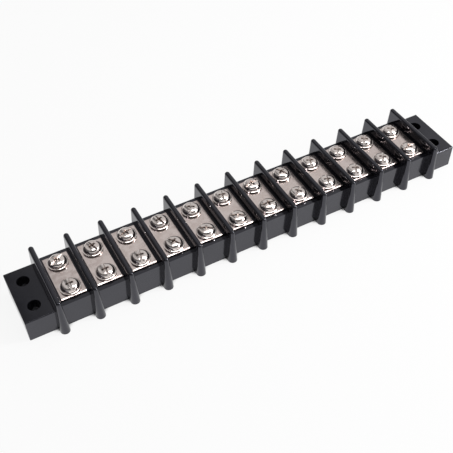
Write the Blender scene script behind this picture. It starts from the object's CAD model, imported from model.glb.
import math

import bmesh
import bpy
from bpy.props import FloatProperty, FloatVectorProperty, IntProperty, PointerProperty
from bpy.types import Operator, Panel, PropertyGroup
from mathutils import Matrix, Vector


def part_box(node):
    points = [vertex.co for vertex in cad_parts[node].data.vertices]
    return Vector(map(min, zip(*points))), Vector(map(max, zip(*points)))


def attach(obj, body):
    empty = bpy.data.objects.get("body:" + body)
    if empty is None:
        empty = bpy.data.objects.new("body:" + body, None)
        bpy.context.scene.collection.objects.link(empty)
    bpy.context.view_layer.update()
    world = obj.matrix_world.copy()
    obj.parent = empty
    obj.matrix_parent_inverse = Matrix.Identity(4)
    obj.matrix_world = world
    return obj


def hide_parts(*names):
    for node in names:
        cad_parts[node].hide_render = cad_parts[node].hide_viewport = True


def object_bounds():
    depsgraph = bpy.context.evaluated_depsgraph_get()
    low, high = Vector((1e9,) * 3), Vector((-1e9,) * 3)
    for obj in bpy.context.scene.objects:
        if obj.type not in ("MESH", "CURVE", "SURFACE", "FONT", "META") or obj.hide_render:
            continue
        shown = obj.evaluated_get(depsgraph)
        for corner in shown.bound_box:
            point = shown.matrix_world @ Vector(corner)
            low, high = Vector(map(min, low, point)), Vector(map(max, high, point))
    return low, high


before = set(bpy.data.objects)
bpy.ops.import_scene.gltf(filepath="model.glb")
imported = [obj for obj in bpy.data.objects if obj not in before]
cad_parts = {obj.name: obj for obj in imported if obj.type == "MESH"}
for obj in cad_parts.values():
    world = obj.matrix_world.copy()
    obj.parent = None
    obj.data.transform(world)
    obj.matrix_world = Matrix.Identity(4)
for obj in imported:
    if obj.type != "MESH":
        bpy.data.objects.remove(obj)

bl_info = {
    "name": "Barrier terminal strip",
    "version": (1, 0, 0),
    "blender": (4, 5, 0),
    "location": "3D View > Sidebar > Terminal strip",
    "description": "Dresses a double-row barrier terminal strip with plates, washers and screws",
    "category": "Object",
}

MM = 0.001
cad_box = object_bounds()

# Places read from the frame
ROWS = ("front", "back")
POSITIONS = sum(name.startswith("screw_front_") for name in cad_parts)
FIRST_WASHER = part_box("washer_front_01")
FIRST_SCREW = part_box("screw_front_01")
PLATES_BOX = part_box("terminal_plates")
PLATE_TOP = FIRST_WASHER[0].z
SCREW_SEAT = FIRST_WASHER[1].z
WASHER_WIDTH = FIRST_WASHER[1].x - FIRST_WASHER[0].x
HEAD_WIDTH = FIRST_SCREW[1].x - FIRST_SCREW[0].x
SCREW_TIP = FIRST_SCREW[0].z

# Heights or widths that differ by less than this count as the same
SAME = 0.01 * MM

# Points of a mesh nearer to each other than this are merged
MERGE_REACH = 0.002 * MM

# Least angle, in degrees, at which two faces meet in a crease
STAMPED_CREASE = 10
SCREW_CREASE = 30

# Steps round a tapped hole, from the middle of a crown to its shoulder, over the shoulder, and in one
# turn of a thread
HOLE_STEPS = 48
CROWN_STEPS = 6
SHOULDER_STEPS = 6
THREAD_STEPS = 36

# Depth that a surface's fine lines and grain have as bump
GRAIN_DEPTH = 0.02 * MM

# How open a place is between full grime and none, where 1 is fully open
GRIME_SPAN = 0.4

# White glow of the floor, and the contact shadow that it leaves: its reach, and how open the floor is
# where the shadow is full and where it ends
FLOOR_GLOW = 0.90
SHADOW_REACH = 6 * MM
SHADOW_OPENNESS = (0.30, 0.45)

# Light of the horizon and of the studio's walls by direction: where along one axis it starts and stops
# changing, and its strength before and after
HORIZON = (0.02, 0.22, 0.60, 0.10)
RIGHT_WALL = (0.0, 0.10, 0.0, 0.54)
LEFT_WALL_NEAR_END = (-0.18, -0.02, 1.0, 0.0)
LEFT_WALL_FAR_END = (-0.46, -0.30, 0.0, 0.54)
BACK_HALF = (0.0, 0.12, 0.0, 1.0)
WALL_FOOT = (0.12, 0.36, 0.0, 1.0)
FRONT_WALL = (-0.45, -0.20, 0.70, 0.0)
FRONT_WALL_TOP = (0.48, 0.64, 1.0, 0.0)

# Gap between the floor and the underside, and the width of the camera's sensor in millimetres
FLOOR_GAP = 0.05 * MM
SENSOR_WIDTH = 36

# Lamps: place, point aimed at, and width along the strip with the height across it
KEY_LAMP = ((0.20, 0.10, 0.62), (0.20, 0.10, 0), (0.60, 0.09))
SIDE_LAMP = ((0.50, -0.20, 0.60), (0, 0, 0), (0.10, 0.10))
FLOOR_LAMP = ((0.32, -0.30, 0.20), (0.12, -0.08, 0), (0.20, 0.20))

# Turn of each screw's slot from the strip's length, in degrees
SLOT_ANGLES = {
    "front": (88, 92, 80, 126, 150, 152, 176, 40, 70, 62, 55, 6),
    "back": (28, 110, 16, 105, 58, 76, 10, 118, 68, 58, 50, 55),
}


class MouldingSettings(PropertyGroup):
    colour: FloatVectorProperty(
        name="Colour", description="Colour of the moulded base", subtype="COLOR",
        size=4, min=0, max=1, default=(0.005, 0.005, 0.007, 1),
    )
    bloom_colour: FloatVectorProperty(
        name="Bloom", description="Paler colour where the skin has dulled", subtype="COLOR",
        size=4, min=0, max=1, default=(0.010, 0.010, 0.013, 1),
    )
    grain: FloatProperty(
        name="Grain", description="Size of one grain of the moulded skin",
        default=0.35 * MM, unit="LENGTH", precision=5,
    )


class PlateSettings(PropertyGroup):
    end_slope: FloatProperty(
        name="End slope", description="How far the sloping front and back edges reach in",
        default=0.55 * MM, unit="LENGTH", precision=5,
    )
    end_drop: FloatProperty(
        name="End drop", description="How far the sloping front and back edges fall",
        default=0.15 * MM, unit="LENGTH", precision=5,
    )
    thickness: FloatProperty(
        name="Thickness", description="Thickness of the plate",
        default=1.5 * MM, unit="LENGTH", precision=5,
    )
    hole: FloatProperty(
        name="Hole", description="Width of the tapped hole",
        default=4.2 * MM, unit="LENGTH", precision=5,
    )
    collar_wall: FloatProperty(
        name="Collar wall", description="Wall of the collar drawn down round the hole",
        default=1.1 * MM, unit="LENGTH", precision=5,
    )
    colour: FloatVectorProperty(
        name="Colour", description="Colour of clean plating", subtype="COLOR",
        size=4, min=0, max=1, default=(0.93, 0.81, 0.77, 1),
    )
    tarnish: FloatVectorProperty(
        name="Tarnish", description="Colour of dulled plating", subtype="COLOR",
        size=4, min=0, max=1, default=(0.82, 0.70, 0.66, 1),
    )


class WasherSettings(PropertyGroup):
    bore: FloatProperty(
        name="Bore", description="Width of the washer's hole",
        default=4.6 * MM, unit="LENGTH", precision=5,
    )
    edge: FloatProperty(
        name="Edge", description="How far the sloping upper edge reaches in",
        default=0.25 * MM, unit="LENGTH", precision=5,
    )
    edge_drop: FloatProperty(
        name="Edge drop", description="How far the sloping upper edge falls",
        default=0.07 * MM, unit="LENGTH", precision=5,
    )
    steps: IntProperty(
        name="Steps", description="Steps round the washer", default=72, min=12,
    )
    recess_reach: FloatProperty(
        name="Recess reach", description="Width of a gap that still gathers grime",
        default=0.7 * MM, unit="LENGTH", precision=5,
    )
    grime: FloatVectorProperty(
        name="Grime", description="Colour of the plating at the foot of the head", subtype="COLOR",
        size=4, min=0, max=1, default=(0.05, 0.04, 0.04, 1),
    )
    colour: FloatVectorProperty(
        name="Colour", description="Colour of clean plating", subtype="COLOR",
        size=4, min=0, max=1, default=(0.98, 0.91, 0.87, 1),
    )
    tarnish: FloatVectorProperty(
        name="Tarnish", description="Colour of dulled plating", subtype="COLOR",
        size=4, min=0, max=1, default=(0.90, 0.80, 0.76, 1),
    )


class ScrewSettings(PropertyGroup):
    crown: FloatProperty(
        name="Crown", description="Radius of the domed crown",
        default=10.5 * MM, unit="LENGTH", precision=5,
    )
    head_height: FloatProperty(
        name="Head height", description="Height of the crown above the washer",
        default=2.2 * MM, unit="LENGTH", precision=5,
    )
    shoulder: FloatProperty(
        name="Shoulder", description="Length taken by the rounding between side and crown",
        default=1.2 * MM, unit="LENGTH", precision=5,
    )
    core: FloatProperty(
        name="Core", description="Width of the shank at the root of its thread",
        default=3.3 * MM, unit="LENGTH", precision=5,
    )
    thread: FloatProperty(
        name="Thread", description="Width of the shank over its thread",
        default=4.0 * MM, unit="LENGTH", precision=5,
    )
    lead: FloatProperty(
        name="Lead", description="Rise of the thread in one turn",
        default=0.8 * MM, unit="LENGTH", precision=5,
    )
    slot_width: FloatProperty(
        name="Slot width", description="Width of the driver slot",
        default=1.1 * MM, unit="LENGTH", precision=5,
    )
    slot_depth: FloatProperty(
        name="Slot depth", description="Depth of the driver slot",
        default=1.0 * MM, unit="LENGTH", precision=5,
    )
    cross_span: FloatProperty(
        name="Cross span", description="Span of the driver cross at the crown",
        default=4.6 * MM, unit="LENGTH", precision=5,
    )
    cross_width: FloatProperty(
        name="Cross width", description="Width of the cross's arms at the crown",
        default=1.3 * MM, unit="LENGTH", precision=5,
    )
    cross_depth: FloatProperty(
        name="Cross depth", description="Depth of the driver cross",
        default=1.6 * MM, unit="LENGTH", precision=5,
    )
    steps: IntProperty(
        name="Steps", description="Steps round the screw", default=60, min=12,
    )
    recess_reach: FloatProperty(
        name="Recess reach", description="Width of a recess that still gathers grime",
        default=1.0 * MM, unit="LENGTH", precision=5,
    )
    grime: FloatVectorProperty(
        name="Grime", description="Colour of the plating down in the recess", subtype="COLOR",
        size=4, min=0, max=1, default=(0.26, 0.22, 0.20, 1),
    )
    colour: FloatVectorProperty(
        name="Colour", description="Colour of clean plating", subtype="COLOR",
        size=4, min=0, max=1, default=(0.98, 0.90, 0.86, 1),
    )
    tarnish: FloatVectorProperty(
        name="Tarnish", description="Colour of dulled plating", subtype="COLOR",
        size=4, min=0, max=1, default=(0.90, 0.80, 0.76, 1),
    )


class StageSettings(PropertyGroup):
    floor_size: FloatProperty(
        name="Floor", description="Width of the floor", default=6, unit="LENGTH",
    )
    floor_colour: FloatVectorProperty(
        name="Floor colour", description="Colour of the floor", subtype="COLOR",
        size=4, min=0, max=1, default=(0.95, 0.95, 0.95, 1),
    )
    camera_place: FloatVectorProperty(
        name="Camera", description="Place of the camera", subtype="TRANSLATION",
        size=3, default=(-134.68 * MM, -232.24 * MM, 285.90 * MM),
    )
    camera_aim: FloatVectorProperty(
        name="Aim", description="Point that the camera looks at", subtype="TRANSLATION",
        size=3, default=(-13.29 * MM, -4.70 * MM, 8.75 * MM),
    )
    camera_roll: FloatProperty(
        name="Roll", description="Turn of the camera about its own axis",
        default=math.radians(-0.83), unit="ROTATION",
    )
    lens: FloatProperty(
        name="Lens", description="Focal length on a 36 mm wide sensor, in millimetres",
        default=60.24, min=1,
    )
    key_power: FloatProperty(
        name="Key", description="Power of the long lamp overhead, in watts", default=0.75, min=0,
    )
    side_power: FloatProperty(
        name="Side", description="Power of the small lamp high on the right, in watts",
        default=3.0, min=0,
    )
    floor_power: FloatProperty(
        name="Low", description="Power of the lamp low in front on the right, in watts",
        default=0.5, min=0,
    )
    sky_strength: FloatProperty(
        name="Sky", description="Strength of the soft light from all round", default=1.0, min=0,
    )


def new_object(name, mesh):
    """Link a new mesh object into the scene."""
    piece = bpy.data.objects.new(name, mesh)
    bpy.context.scene.collection.objects.link(piece)
    return piece


def shade(mesh, crease):
    """Smooth shading with creases where faces meet at more than an angle in degrees."""
    mesh.shade_smooth()
    mesh.set_sharp_from_angle(angle=math.radians(crease))


def clean(bm):
    """Merge doubled points and turn every face outwards."""
    bmesh.ops.remove_doubles(bm, verts=bm.verts, dist=MERGE_REACH)
    bmesh.ops.recalc_face_normals(bm, faces=bm.faces)


def lathe(bm, profile, steps, closed=False):
    """Turn a profile of (radius, height) points about the upright axis."""
    points = [bm.verts.new((radius, 0, height)) for radius, height in profile]
    edges = [bm.edges.new(pair) for pair in zip(points, points[1:])]
    if closed:
        edges.append(bm.edges.new((points[-1], points[0])))
    bmesh.ops.spin(
        bm, geom=points + edges, cent=(0, 0, 0), axis=(0, 0, 1),
        angle=2 * math.pi, steps=steps, use_merge=True,
    )
    clean(bm)


def slope_edges(bm, edges, reach, drop):
    """Plane edges to one flat slope that reaches in further than it falls."""
    stretch = reach / drop
    bmesh.ops.scale(bm, vec=(1, 1, stretch), verts=bm.verts)
    bmesh.ops.bevel(
        bm, geom=edges, offset=reach, segments=1,
        profile=0.5, affect="EDGES", material=-1,
    )
    bmesh.ops.scale(bm, vec=(1, 1, 1 / stretch), verts=bm.verts)
    clean(bm)


def to_mesh(bm, name):
    """Write a bmesh to a new mesh and free it."""
    mesh = bpy.data.meshes.new(name)
    bm.to_mesh(mesh)
    bm.free()
    return mesh


def cut(mesh, cutters):
    """Mesh left when closed cutter meshes are taken from a closed mesh."""
    body = new_object("cut_body", mesh)
    tools = []
    for cutter in cutters:
        tool = new_object("cut_tool", cutter)
        modifier = body.modifiers.new("cut", "BOOLEAN")
        modifier.operation = "DIFFERENCE"
        modifier.solver = "EXACT"
        modifier.object = tool
        tools.append(tool)
    graph = bpy.context.evaluated_depsgraph_get()
    result = bpy.data.meshes.new_from_object(body.evaluated_get(graph))
    for spare in [body, *tools]:
        spare_mesh = spare.data
        bpy.data.objects.remove(spare)
        bpy.data.meshes.remove(spare_mesh)
    return result


def centre_of(node):
    """Middle of a node seen from above."""
    low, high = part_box(node)
    return Vector(((low.x + high.x) / 2, (low.y + high.y) / 2, 0))


def pitch():
    """Distance between neighbouring positions."""
    return centre_of("screw_front_02").x - centre_of("screw_front_01").x


def new_group(name, inputs, outputs):
    """Shader node group with named sockets, returned with its two end nodes."""
    group = bpy.data.node_groups.new(name, "ShaderNodeTree")
    for socket, kind, value in inputs:
        made = group.interface.new_socket(name=socket, in_out="INPUT", socket_type=kind)
        if value is not None:
            made.default_value = value
    for socket, kind in outputs:
        group.interface.new_socket(name=socket, in_out="OUTPUT", socket_type=kind)
    return group, group.nodes.new("NodeGroupInput"), group.nodes.new("NodeGroupOutput")


def math_node(tree, operation, first, second):
    """Math node fed by sockets or plain numbers."""
    node = tree.nodes.new("ShaderNodeMath")
    node.operation = operation
    for socket, value in zip(node.inputs, (first, second)):
        if isinstance(value, (int, float)):
            socket.default_value = value
        else:
            tree.links.new(value, socket)
    return node.outputs[0]


def range_node(tree, value, low, high, new_low, new_high):
    """Map Range node with smooth ends."""
    node = tree.nodes.new("ShaderNodeMapRange")
    node.interpolation_type = "SMOOTHSTEP"
    tree.links.new(value, node.inputs["Value"])
    ends = {"From Min": low, "From Max": high, "To Min": new_low, "To Max": new_high}
    for name, number in ends.items():
        if isinstance(number, (int, float)):
            node.inputs[name].default_value = number
        else:
            tree.links.new(number, node.inputs[name])
    return node.outputs["Result"]


def noise_node(tree, vector, scale, detail, roughness):
    """Noise texture's value at a position."""
    node = tree.nodes.new("ShaderNodeTexNoise")
    node.inputs["Detail"].default_value = detail
    node.inputs["Roughness"].default_value = roughness
    tree.links.new(vector, node.inputs["Vector"])
    tree.links.new(scale, node.inputs["Scale"])
    return node.outputs["Fac"]


def mix_colour(tree, mask, first, second):
    """Colour between two others by a mask."""
    node = tree.nodes.new("ShaderNodeMix")
    node.data_type = "RGBA"
    tree.links.new(mask, node.inputs["Factor"])
    tree.links.new(first, node.inputs["A"])
    tree.links.new(second, node.inputs["B"])
    return node.outputs["Result"]


def build_handling_group():
    """Broad soft patches where a surface has dulled from storage and handling."""
    group, source, target = new_group(
        "handling_patches",
        [
            ("Position", "NodeSocketVector", None),
            ("Clean Colour", "NodeSocketColor", (0.8, 0.8, 0.8, 1)),
            ("Dull Colour", "NodeSocketColor", (0.5, 0.5, 0.5, 1)),
            ("Patch Scale", "NodeSocketFloat", 200.0),
            ("Least Roughness", "NodeSocketFloat", 0.2),
            ("Most Roughness", "NodeSocketFloat", 0.4),
        ],
        [("Colour", "NodeSocketColor"), ("Roughness", "NodeSocketFloat")],
    )
    patches = noise_node(
        group, source.outputs["Position"], source.outputs["Patch Scale"], detail=5, roughness=0.6
    )
    clean_below, dull_above = 0.38, 0.66
    mask = range_node(group, patches, clean_below, dull_above, 0.0, 1.0)
    colour = mix_colour(group, mask, source.outputs["Clean Colour"], source.outputs["Dull Colour"])
    roughness = range_node(
        group, mask, 0.0, 1.0, source.outputs["Least Roughness"], source.outputs["Most Roughness"]
    )
    group.links.new(colour, target.inputs["Colour"])
    group.links.new(roughness, target.inputs["Roughness"])
    return group


def build_grain_group():
    """Fine parallel lines left by rolling, stamping or turning a metal."""
    group, source, target = new_group(
        "metal_grain",
        [
            ("Position", "NodeSocketVector", None),
            ("Line Scale", "NodeSocketFloat", 4000.0),
        ],
        [("Height", "NodeSocketFloat")],
    )
    lines = noise_node(
        group, source.outputs["Position"], source.outputs["Line Scale"], detail=2, roughness=0.6
    )
    group.links.new(lines, target.inputs["Height"])
    return group


def build_skin_group():
    """Fine grain and faint flow marks of a pressed thermoset."""
    group, source, target = new_group(
        "moulded_skin",
        [
            ("Position", "NodeSocketVector", None),
            ("Grain Scale", "NodeSocketFloat", 2800.0),
            ("Flow Scale", "NodeSocketFloat", 90.0),
        ],
        [("Height", "NodeSocketFloat")],
    )
    grain = noise_node(
        group, source.outputs["Position"], source.outputs["Grain Scale"], detail=2, roughness=0.5
    )
    flow = noise_node(
        group, source.outputs["Position"], source.outputs["Flow Scale"], detail=4, roughness=0.55
    )
    flow_height = 2.5
    soft_flow = math_node(group, "MULTIPLY", flow, flow_height)
    height = math_node(group, "ADD", grain, soft_flow)
    group.links.new(height, target.inputs["Height"])
    return group


def build_grime_group():
    """Darker colour in narrow recesses and at the foot of what stands near."""
    group, source, target = new_group(
        "recess_grime",
        [
            ("Colour", "NodeSocketColor", (0.8, 0.8, 0.8, 1)),
            ("Grime Colour", "NodeSocketColor", (0.1, 0.1, 0.1, 1)),
            ("Reach", "NodeSocketFloat", 0.001),
            ("Onset", "NodeSocketFloat", 0.75),
        ],
        [("Colour", "NodeSocketColor")],
    )
    occlusion = group.nodes.new("ShaderNodeAmbientOcclusion")
    group.links.new(source.outputs["Reach"], occlusion.inputs["Distance"])
    full = math_node(group, "SUBTRACT", source.outputs["Onset"], GRIME_SPAN)
    mask = range_node(group, occlusion.outputs["AO"], full, source.outputs["Onset"], 1.0, 0.0)
    colour = mix_colour(group, mask, source.outputs["Colour"], source.outputs["Grime Colour"])
    group.links.new(colour, target.inputs["Colour"])
    return group


def shared_group(name):
    """Shader group of that name, built the first time it is asked for."""
    builders = {
        "handling_patches": build_handling_group,
        "metal_grain": build_grain_group,
        "moulded_skin": build_skin_group,
        "recess_grime": build_grime_group,
    }
    return bpy.data.node_groups.get(name) or builders[name]()


def place_group(tree, name, **values):
    """Group node of that name with its inputs set or linked."""
    node = tree.nodes.new("ShaderNodeGroup")
    node.node_tree = shared_group(name)
    for key, value in values.items():
        socket = node.inputs[key.replace("_", " ").title()]
        if hasattr(value, "node"):
            tree.links.new(value, socket)
        else:
            socket.default_value = value
    return node


def object_position(tree, stretch=(1, 1, 1)):
    """Object coordinates, stretched along each axis."""
    source = tree.nodes.new("ShaderNodeTexCoord")
    mapping = tree.nodes.new("ShaderNodeMapping")
    mapping.inputs["Scale"].default_value = stretch
    tree.links.new(source.outputs["Object"], mapping.inputs["Vector"])
    return mapping.outputs["Vector"]


def new_material(name):
    """Empty material with its Principled shader."""
    material = bpy.data.materials.new(name)
    material.use_nodes = True
    return material, material.node_tree, material.node_tree.nodes["Principled BSDF"]


def bump(tree, shader, height, strength):
    """Feed a fine height to the shader's normal."""
    node = tree.nodes.new("ShaderNodeBump")
    node.inputs["Strength"].default_value = strength
    node.inputs["Distance"].default_value = GRAIN_DEPTH
    tree.links.new(height, node.inputs["Height"])
    tree.links.new(node.outputs["Normal"], shader.inputs["Normal"])


def plated_material(name, settings, roughness, stretch, line_scale, strength):
    """Nickel plating with dulled patches and fine lines, between a least and a most roughness."""
    material, tree, shader = new_material(name)
    shader.inputs["Metallic"].default_value = 1
    place = object_position(tree)
    patches = place_group(
        tree, "handling_patches", position=place,
        clean_colour=settings.colour, dull_colour=settings.tarnish,
        patch_scale=260.0, least_roughness=roughness[0], most_roughness=roughness[1],
    )
    grain = place_group(
        tree, "metal_grain", position=object_position(tree, stretch), line_scale=line_scale,
    )
    tree.links.new(patches.outputs["Colour"], shader.inputs["Base Color"])
    tree.links.new(patches.outputs["Roughness"], shader.inputs["Roughness"])
    bump(tree, shader, grain.outputs["Height"], strength)
    return material


def darken_recesses(material, settings, onset):
    """Let grime gather on a plated material wherever it is less open than the onset."""
    tree = material.node_tree
    socket = tree.nodes["Principled BSDF"].inputs["Base Color"]
    grime = place_group(
        tree, "recess_grime", colour=socket.links[0].from_socket,
        grime_colour=settings.grime, reach=settings.recess_reach, onset=onset,
    )
    tree.links.new(grime.outputs["Colour"], socket)


def moulding_material(settings):
    """Black pressed thermoset with a fine skin."""
    material, tree, shader = new_material("black_moulding")
    shader.inputs["IOR"].default_value = 1.68
    shader.inputs["Specular Tint"].default_value = (0.88, 0.88, 1, 1)
    place = object_position(tree)
    patches = place_group(
        tree, "handling_patches", position=place,
        clean_colour=settings.colour, dull_colour=settings.bloom_colour,
        patch_scale=70.0, least_roughness=0.08, most_roughness=0.16,
    )
    skin = place_group(
        tree, "moulded_skin", position=place,
        grain_scale=1 / settings.grain, flow_scale=90.0,
    )
    tree.links.new(patches.outputs["Colour"], shader.inputs["Base Color"])
    tree.links.new(patches.outputs["Roughness"], shader.inputs["Roughness"])
    bump(tree, shader, skin.outputs["Height"], strength=0.12)
    return material


def plate_mesh(settings):
    """Plate whose upper face slopes down along its front and back edges."""
    low, high = PLATES_BOX
    length = high.y - low.y
    width = high.x - low.x - (POSITIONS - 1) * pitch()
    bm = bmesh.new()
    bmesh.ops.create_cube(bm, size=1)
    bmesh.ops.scale(bm, vec=(width, length, settings.thickness), verts=bm.verts)
    bmesh.ops.translate(bm, vec=(0, 0, PLATE_TOP - settings.thickness / 2), verts=bm.verts)
    ends = [
        edge for edge in bm.edges
        if all(v.co.z > PLATE_TOP - SAME for v in edge.verts)
        and abs(edge.verts[0].co.y - edge.verts[1].co.y) < SAME
    ]
    slope_edges(bm, ends, settings.end_slope, settings.end_drop)
    return to_mesh(bm, "plate")


def hole_cutter(y, radius, low, high):
    """Round cutter for one tapped hole of the plate."""
    bm = bmesh.new()
    bmesh.ops.create_cone(
        bm, cap_ends=True, segments=HOLE_STEPS, radius1=radius, radius2=radius, depth=high - low,
        matrix=Matrix.Translation((0, y, (low + high) / 2)),
    )
    return to_mesh(bm, "hole_cutter")


def add_collar(bm, y, settings):
    """Ring drawn down from the plate round one tapped hole."""
    bore = settings.hole / 2
    outer = bore + settings.collar_wall
    top = PLATE_TOP - settings.thickness
    bottom = PLATES_BOX[0].z
    ring = bmesh.new()
    profile = [(bore, bottom), (outer, bottom), (outer, top), (bore, top)]
    lathe(ring, profile, HOLE_STEPS, closed=True)
    bmesh.ops.translate(ring, vec=(0, y, 0), verts=ring.verts)
    collar = to_mesh(ring, "collar")
    bm.from_mesh(collar)
    bpy.data.meshes.remove(collar)


def washer_mesh(settings):
    """Flat washer with a sloping upper edge, centred on its own axis."""
    bore = settings.bore / 2
    outer = WASHER_WIDTH / 2
    bm = bmesh.new()
    profile = [(bore, PLATE_TOP), (outer, PLATE_TOP), (outer, SCREW_SEAT), (bore, SCREW_SEAT)]
    lathe(bm, profile, settings.steps, closed=True)
    rim = [
        edge for edge in bm.edges
        if all(v.co.z > SCREW_SEAT - SAME and v.co.xy.length > outer - SAME for v in edge.verts)
    ]
    slope_edges(bm, rim, settings.edge, settings.edge_drop)
    mesh = to_mesh(bm, "washer")
    shade(mesh, STAMPED_CREASE)
    return mesh


def rim_height(settings):
    """Height at which the crown's curve would meet the head's upright side."""
    fall = settings.crown - math.sqrt(settings.crown**2 - (HEAD_WIDTH / 2) ** 2)
    return SCREW_SEAT + settings.head_height - fall


def head_profile(settings):
    """Half outline of the screw without its thread, from crown to tip."""
    radius = HEAD_WIDTH / 2
    crown = settings.crown
    crown_top = SCREW_SEAT + settings.head_height
    room_for_shoulder = 1.05 * settings.shoulder
    spread = math.asin((radius - room_for_shoulder) / crown)
    angles = [spread * step / CROWN_STEPS for step in range(CROWN_STEPS + 1)]
    arc = [(crown * math.sin(angle), crown_top - crown * (1 - math.cos(angle))) for angle in angles]
    core = settings.core / 2
    point = core / 2
    return arc + [
        (radius, rim_height(settings)),
        (radius, SCREW_SEAT),
        (core, SCREW_SEAT),
        (core, SCREW_TIP + point),
        (core - point, SCREW_TIP),
        (0, SCREW_TIP),
    ]


def add_thread(bm, settings):
    """Helical ridge wound round the core of the shank, its foot sunk into the core."""
    sunk = 0.05 * MM
    foot = settings.core / 2 - sunk
    ridge = settings.thread / 2
    half = settings.lead * 0.42
    start = SCREW_TIP + settings.lead
    end = SCREW_SEAT - settings.lead * 0.5
    turns = (end - start) / settings.lead
    steps = int(turns * THREAD_STEPS)
    triangle = [
        bm.verts.new((foot, 0, start - half)),
        bm.verts.new((ridge, 0, start)),
        bm.verts.new((foot, 0, start + half)),
    ]
    edges = [bm.edges.new(pair) for pair in zip(triangle, triangle[1:] + triangle[:1])]
    swept = bmesh.ops.spin(
        bm, geom=triangle + edges, cent=(0, 0, 0), axis=(0, 0, 1),
        dvec=(0, 0, settings.lead / THREAD_STEPS),
        angle=2 * math.pi * steps / THREAD_STEPS, steps=steps,
    )
    last = [part for part in swept["geom_last"] if isinstance(part, bmesh.types.BMEdge)]
    bmesh.ops.contextual_create(bm, geom=edges)
    bmesh.ops.contextual_create(bm, geom=last)


def cross_arm(settings, turned):
    """Tapered cutter for one arm pair of the driver cross."""
    crown_top = SCREW_SEAT + settings.head_height
    above = 0.6 * MM
    taper = (0.45, 0.5, 1)
    depth = settings.cross_depth
    bm = bmesh.new()
    bmesh.ops.create_cube(bm, size=1)
    bmesh.ops.scale(bm, vec=(settings.cross_span, settings.cross_width, depth + above), verts=bm.verts)
    bmesh.ops.translate(bm, vec=(0, 0, crown_top + (above - depth) / 2), verts=bm.verts)
    lower = [vert for vert in bm.verts if vert.co.z < crown_top]
    bmesh.ops.scale(bm, vec=taper, verts=lower)
    if turned:
        quarter_turn = Matrix.Rotation(math.pi / 2, 3, "Z")
        bmesh.ops.rotate(bm, verts=bm.verts, cent=(0, 0, 0), matrix=quarter_turn)
    return to_mesh(bm, "cross_cutter")


def slot_cutter(settings):
    """Cutter for the slot that runs right across the head."""
    crown_top = SCREW_SEAT + settings.head_height
    bm = bmesh.new()
    bmesh.ops.create_cube(bm, size=1)
    span = HEAD_WIDTH * 1.2
    bmesh.ops.scale(bm, vec=(span, settings.slot_width, 2 * settings.slot_depth), verts=bm.verts)
    bmesh.ops.translate(bm, vec=(0, 0, crown_top), verts=bm.verts)
    return to_mesh(bm, "slot_cutter")


def screw_mesh(settings):
    """One screw on its own axis: domed head, slot, driver cross and threaded shank."""
    bm = bmesh.new()
    lathe(bm, head_profile(settings), settings.steps)
    rim_top = rim_height(settings)
    shoulder = [
        edge for edge in bm.edges
        if all(abs(v.co.z - rim_top) < SAME for v in edge.verts)
    ]
    bmesh.ops.bevel(
        bm, geom=shoulder, offset=settings.shoulder, segments=SHOULDER_STEPS,
        profile=0.5, affect="EDGES", material=-1,
    )
    clean(bm)
    blank = to_mesh(bm, "screw_blank")
    cutters = [slot_cutter(settings), cross_arm(settings, False), cross_arm(settings, True)]
    headed = cut(blank, cutters)
    bm = bmesh.new()
    bm.from_mesh(headed)
    bpy.data.meshes.remove(headed)
    thread = bmesh.new()
    add_thread(thread, settings)
    clean(thread)
    thread_mesh = to_mesh(thread, "thread")
    bm.from_mesh(thread_mesh)
    bpy.data.meshes.remove(thread_mesh)
    mesh = to_mesh(bm, "screw")
    shade(mesh, SCREW_CREASE)
    return mesh


class STRIP_OT_finish_moulding(Operator):
    """Give the moulded base its black thermoset finish"""

    bl_idname = "terminal_strip.finish_moulding"
    bl_label = "Finish moulding"

    def execute(self, context):
        material = moulding_material(context.scene.strip_moulding)
        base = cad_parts["base_moulding"]
        base.data.materials.clear()
        base.data.materials.append(material)
        return {"FINISHED"}


class STRIP_OT_fit_plates(Operator):
    """Lay a plated terminal plate in every position"""

    bl_idname = "terminal_strip.fit_plates"
    bl_label = "Fit plates"

    def execute(self, context):
        settings = context.scene.strip_plate
        material = plated_material(
            "satin_plated_brass", settings,
            roughness=(0.16, 0.24), stretch=(1, 0.06, 1), line_scale=5200.0, strength=0.015,
        )
        blank = plate_mesh(settings)
        rows = [centre_of(f"screw_{row}_01").y for row in ROWS]
        below = PLATE_TOP - 2 * settings.thickness
        above = PLATE_TOP + MM
        cutters = [hole_cutter(y, settings.hole / 2, below, above) for y in rows]
        pierced = cut(blank, cutters)
        bm = bmesh.new()
        bm.from_mesh(pierced)
        for y in rows:
            add_collar(bm, y, settings)
        whole = to_mesh(bm, "terminal_plate")
        shade(whole, STAMPED_CREASE)
        whole.materials.clear()
        whole.materials.append(material)
        for index in range(POSITIONS):
            number = f"{index + 1:02d}"
            mesh = whole.copy()
            mesh.transform(Matrix.Translation((centre_of(f"screw_front_{number}").x, 0, 0)))
            piece = new_object(f"terminal_plate_{number}", mesh)
            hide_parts("terminal_plates")
            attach(piece, "base")
        return {"FINISHED"}


class STRIP_OT_fit_washers(Operator):
    """Put a captive flat washer under every screw"""

    bl_idname = "terminal_strip.fit_washers"
    bl_label = "Fit washers"

    def execute(self, context):
        settings = context.scene.strip_washer
        material = plated_material(
            "bright_plated_washer", settings,
            roughness=(0.10, 0.18), stretch=(1, 1, 1), line_scale=3000.0, strength=0.03,
        )
        darken_recesses(material, settings, onset=0.95)
        whole = washer_mesh(settings)
        whole.materials.append(material)
        for row in ROWS:
            for index in range(POSITIONS):
                node = f"washer_{row}_{index + 1:02d}"
                mesh = whole.copy()
                mesh.transform(Matrix.Translation(centre_of(node)))
                piece = new_object(f"flat_{node}", mesh)
                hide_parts(node)
                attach(piece, node)
        return {"FINISHED"}


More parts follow.
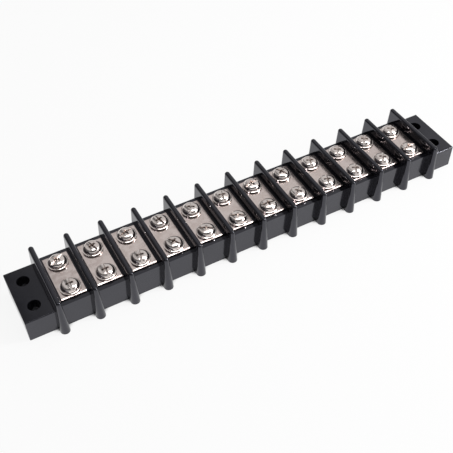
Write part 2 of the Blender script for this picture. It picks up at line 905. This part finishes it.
class STRIP_OT_fit_screws(Operator):
    """Put a binding-head screw in every hole"""

    bl_idname = "terminal_strip.fit_screws"
    bl_label = "Fit screws"

    def execute(self, context):
        settings = context.scene.strip_screw
        material = plated_material(
            "bright_plated_screw", settings,
            roughness=(0.14, 0.24), stretch=(1, 1, 1), line_scale=2600.0, strength=0.04,
        )
        darken_recesses(material, settings, onset=0.75)
        whole = screw_mesh(settings)
        whole.materials.clear()
        whole.materials.append(material)
        for row in ROWS:
            for index in range(POSITIONS):
                node = f"screw_{row}_{index + 1:02d}"
                turn = Matrix.Rotation(math.radians(SLOT_ANGLES[row][index]), 4, "Z")
                mesh = whole.copy()
                mesh.transform(Matrix.Translation(centre_of(node)) @ turn)
                piece = new_object(f"binding_{node}", mesh)
                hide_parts(node)
                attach(piece, node)
        return {"FINISHED"}


def white_for_camera(tree, surface):
    """Lay a share of plain white glow over an open surface, for the camera, gloss and glass to see."""
    path = tree.nodes.new("ShaderNodeLightPath")
    glow = tree.nodes.new("ShaderNodeEmission")
    glow.inputs["Color"].default_value = (1, 1, 1, 1)
    glow.inputs["Strength"].default_value = 1
    seen = math_node(tree, "MAXIMUM", path.outputs["Is Camera Ray"], path.outputs["Is Glossy Ray"])
    seen = math_node(tree, "MAXIMUM", seen, path.outputs["Is Transmission Ray"])
    occlusion = tree.nodes.new("ShaderNodeAmbientOcclusion")
    occlusion.inputs["Distance"].default_value = SHADOW_REACH
    open_floor = range_node(tree, occlusion.outputs["AO"], *SHADOW_OPENNESS, 0.0, FLOOR_GLOW)
    share = math_node(tree, "MULTIPLY", seen, open_floor)
    mix = tree.nodes.new("ShaderNodeMixShader")
    tree.links.new(share, mix.inputs["Fac"])
    tree.links.new(surface, mix.inputs[1])
    tree.links.new(glow.outputs["Emission"], mix.inputs[2])
    return mix.outputs["Shader"]


def floor_material(settings):
    """Pale floor that reads as white and keeps the object's shadow."""
    material, tree, shader = new_material("pale_floor")
    shader.inputs["Base Color"].default_value = settings.floor_colour
    shader.inputs["Roughness"].default_value = 0.9
    shader.inputs["Specular IOR Level"].default_value = 0.1
    surface = white_for_camera(tree, shader.outputs["BSDF"])
    tree.links.new(surface, tree.nodes["Material Output"].inputs["Surface"])
    return material


def build_sky(settings):
    """Dim studio with pale walls behind, left and right, and in front, white to the camera."""
    world = bpy.data.worlds.new("studio_sky")
    world.use_nodes = True
    bpy.context.scene.world = world
    tree = world.node_tree
    background = tree.nodes["Background"]
    background.inputs["Color"].default_value = (1, 1, 1, 1)
    source = tree.nodes.new("ShaderNodeTexCoord")
    split = tree.nodes.new("ShaderNodeSeparateXYZ")
    tree.links.new(source.outputs["Generated"], split.inputs["Vector"])
    across, along, up = split.outputs["X"], split.outputs["Y"], split.outputs["Z"]
    left_wall = math_node(
        tree, "MULTIPLY",
        range_node(tree, across, *LEFT_WALL_NEAR_END), range_node(tree, across, *LEFT_WALL_FAR_END),
    )
    sides = math_node(tree, "MAXIMUM", range_node(tree, across, *RIGHT_WALL), left_wall)
    back_walls = math_node(tree, "MULTIPLY", sides, range_node(tree, along, *BACK_HALF))
    front_wall = math_node(
        tree, "MULTIPLY",
        range_node(tree, along, *FRONT_WALL), range_node(tree, up, *FRONT_WALL_TOP),
    )
    walls = math_node(tree, "MAXIMUM", back_walls, front_wall)
    raised_walls = math_node(tree, "MULTIPLY", walls, range_node(tree, up, *WALL_FOOT))
    light = math_node(tree, "MAXIMUM", range_node(tree, up, *HORIZON), raised_walls)
    level = math_node(tree, "MULTIPLY", light, settings.sky_strength)
    path = tree.nodes.new("ShaderNodeLightPath")
    strength = math_node(tree, "MAXIMUM", level, path.outputs["Is Camera Ray"])
    tree.links.new(strength, background.inputs["Strength"])


def add_lamp(name, place, aim, size, power):
    """Soft lamp aimed at a point, its width kept level along the strip."""
    data = bpy.data.lights.new(name, "AREA")
    data.shape = "RECTANGLE"
    data.size, data.size_y = size
    data.energy = power
    lamp = bpy.data.objects.new(name, data)
    back = (Vector(place) - Vector(aim)).normalized()
    side = (Vector((1, 0, 0)) - back * back.x).normalized()
    lamp.location = place
    lamp.rotation_mode = "QUATERNION"
    lamp.rotation_quaternion = Matrix((side, back.cross(side), back)).transposed().to_quaternion()
    bpy.context.scene.collection.objects.link(lamp)


class STRIP_OT_set_stage(Operator):
    """Make the pale floor, the soft studio light and the camera"""

    bl_idname = "terminal_strip.set_stage"
    bl_label = "Set stage"

    def execute(self, context):
        settings = context.scene.strip_stage
        bm = bmesh.new()
        bmesh.ops.create_grid(bm, x_segments=1, y_segments=1, size=settings.floor_size / 2)
        floor = new_object("floor", to_mesh(bm, "floor"))
        floor.location.z = cad_box[0].z - FLOOR_GAP
        floor.data.materials.append(floor_material(settings))
        build_sky(settings)
        add_lamp("key_lamp", *KEY_LAMP, settings.key_power)
        add_lamp("side_lamp", *SIDE_LAMP, settings.side_power)
        add_lamp("floor_lamp", *FLOOR_LAMP, settings.floor_power)
        data = bpy.data.cameras.new("photo_camera")
        data.lens = settings.lens
        data.sensor_width = SENSOR_WIDTH
        camera = bpy.data.objects.new("photo_camera", data)
        place = Vector(settings.camera_place)
        look = (Vector(settings.camera_aim) - place).to_track_quat("-Z", "Y")
        roll = Matrix.Rotation(settings.camera_roll, 3, "Z")
        camera.location = place
        camera.rotation_mode = "QUATERNION"
        camera.rotation_quaternion = (look.to_matrix() @ roll).to_quaternion()
        context.scene.collection.objects.link(camera)
        context.scene.camera = camera
        context.scene.view_settings.view_transform = "Standard"
        return {"FINISHED"}


class STRIP_PT_panel(Panel):
    """Steps that dress the terminal strip, in order"""

    bl_idname = "STRIP_PT_panel"
    bl_label = "Terminal strip"
    bl_space_type = "VIEW_3D"
    bl_region_type = "UI"
    bl_category = "Terminal strip"

    def draw(self, context):
        for operator in OPERATORS:
            self.layout.operator(operator.bl_idname)
        for group in SETTINGS:
            owner = getattr(context.scene, group)
            box = self.layout.box()
            for name in owner.__annotations__:
                box.prop(owner, name)


OPERATORS = (
    STRIP_OT_finish_moulding,
    STRIP_OT_fit_plates,
    STRIP_OT_fit_washers,
    STRIP_OT_fit_screws,
    STRIP_OT_set_stage,
)
SETTINGS = {
    "strip_moulding": MouldingSettings,
    "strip_plate": PlateSettings,
    "strip_washer": WasherSettings,
    "strip_screw": ScrewSettings,
    "strip_stage": StageSettings,
}


def register():
    for group in SETTINGS.values():
        bpy.utils.register_class(group)
    for name, group in SETTINGS.items():
        setattr(bpy.types.Scene, name, PointerProperty(type=group))
    for operator in OPERATORS:
        bpy.utils.register_class(operator)
    bpy.utils.register_class(STRIP_PT_panel)


def unregister():
    bpy.utils.unregister_class(STRIP_PT_panel)
    for operator in reversed(OPERATORS):
        bpy.utils.unregister_class(operator)
    for name, group in reversed(SETTINGS.items()):
        delattr(bpy.types.Scene, name)
        bpy.utils.unregister_class(group)


def main():
    register()
    bpy.ops.terminal_strip.finish_moulding()
    bpy.ops.terminal_strip.fit_plates()
    bpy.ops.terminal_strip.fit_washers()
    bpy.ops.terminal_strip.fit_screws()
    bpy.ops.terminal_strip.set_stage()


if __name__ == "__main__":
    main()
